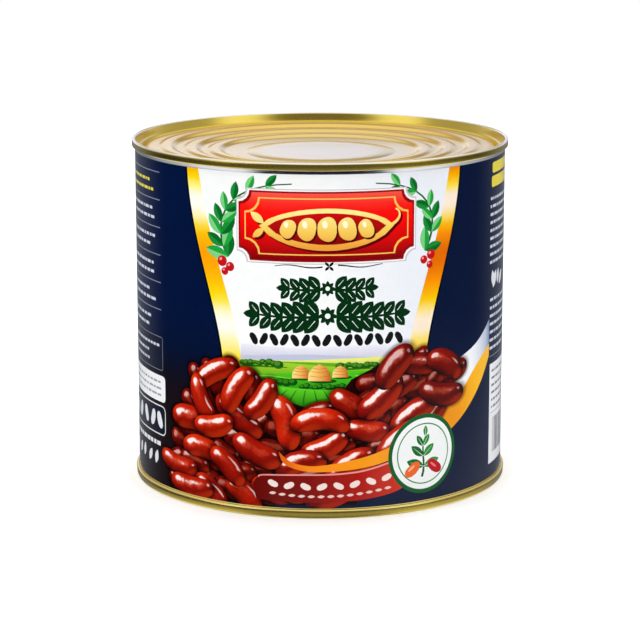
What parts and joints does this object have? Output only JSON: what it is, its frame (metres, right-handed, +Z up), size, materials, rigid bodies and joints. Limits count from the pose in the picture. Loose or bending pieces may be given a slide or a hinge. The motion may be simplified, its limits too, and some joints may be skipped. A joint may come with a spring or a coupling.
{
  "type": "canned beans",
  "caption": "Shut catering tin of beans: a smooth printed steel body between two rolled, gold-lacquered ends with ringed, recessed panels.",
  "frame": {"origin": "centre of the base, on the plane the tin stands on", "axes": "+Z up along the tin's axis, -Y towards the printed front"},
  "size_m": [0.157, 0.157, 0.143],
  "materials": {
    "printed_wall": "glossy printed varnish on tinplate, mostly navy with a white front panel",
    "gold_lacquer": "clear gold lacquer on fine-grained tinplate"
  },
  "bodies": {
    "root": {"can_body": "printed_wall", "top_end": "gold_lacquer", "bottom_end": "gold_lacquer"}
  },
  "joints": []
}
